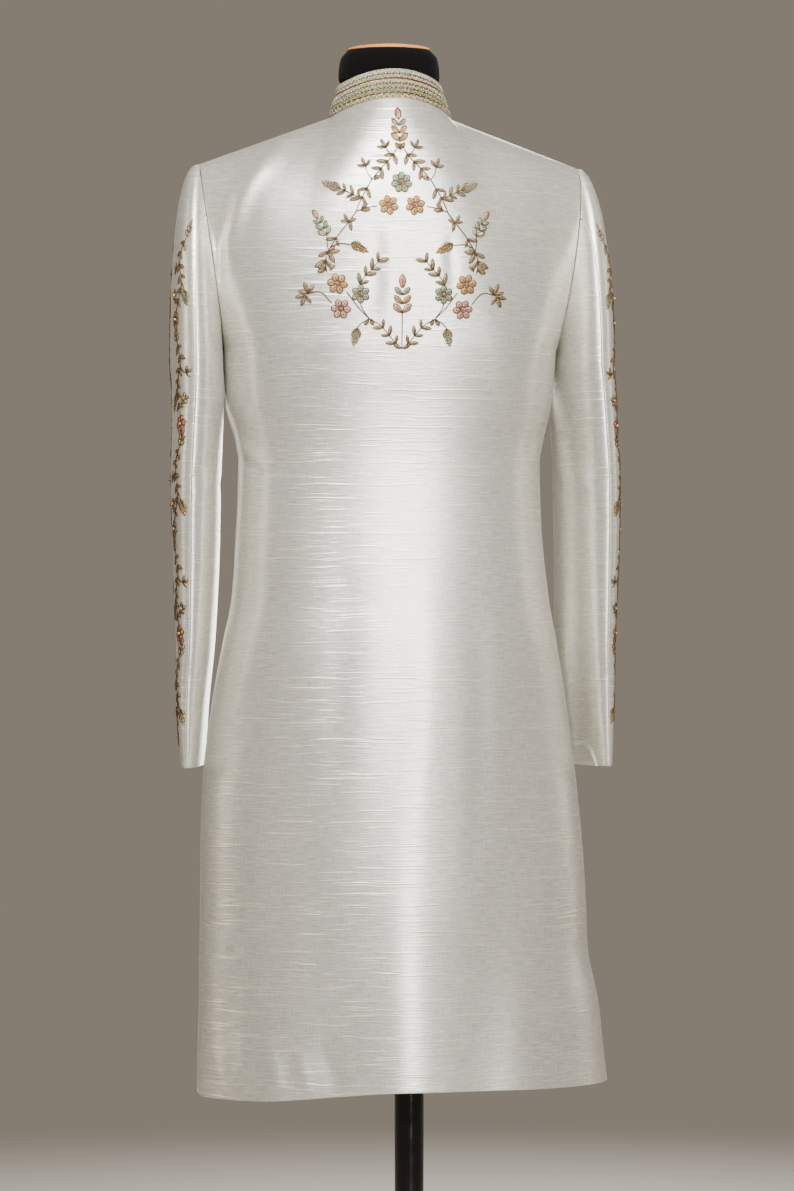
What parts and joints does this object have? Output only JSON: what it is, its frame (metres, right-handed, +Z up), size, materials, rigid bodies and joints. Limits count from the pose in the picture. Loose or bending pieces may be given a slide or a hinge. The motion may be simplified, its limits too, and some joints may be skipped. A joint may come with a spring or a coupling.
{
  "type": "sherwani kurta on a limbless dress form and pole stand",
  "caption": "Knee-length ivory silk sherwani kurta with a braided stand collar, worn by a limbless dress form that stands on a pole with a round foot.",
  "frame": {"origin": "the middle of the stand's flat underside, on the pole's axis", "axes": "+Z up the pole; the garment's front faces -Y and the wearer's left side is +X"},
  "size_m": [0.4913, 0.35, 1.5387],
  "materials": {
    "silk": "ivory raw silk with slubs across the width, soft sheen",
    "braid": "antique gold metallic thread, in rows of braid on the collar and in the embroidery",
    "covered_button": "domed button covered in the coat's own silk",
    "jersey": "black knitted cover, stretched smooth and matt",
    "turned_wood": "turned hardwood with an orange-brown satin varnish",
    "enamel": "glossy black enamelled steel"
  },
  "bodies": {
    "root": {"back": "silk", "front_left": "silk", "front_right": "silk", "sleeve_top_left": "silk", "sleeve_under_left": "silk", "sleeve_top_right": "silk", "sleeve_under_right": "silk", "collar": "braid", "button_1": "covered_button", "button_2": "covered_button", "button_3": "covered_button", "button_4": "covered_button", "button_5": "covered_button", "button_6": "covered_button", "button_7": "covered_button", "form_torso": "jersey", "form_cap": "turned_wood", "stand_pole": "enamel", "stand_base": "enamel"}
  },
  "joints": []
}
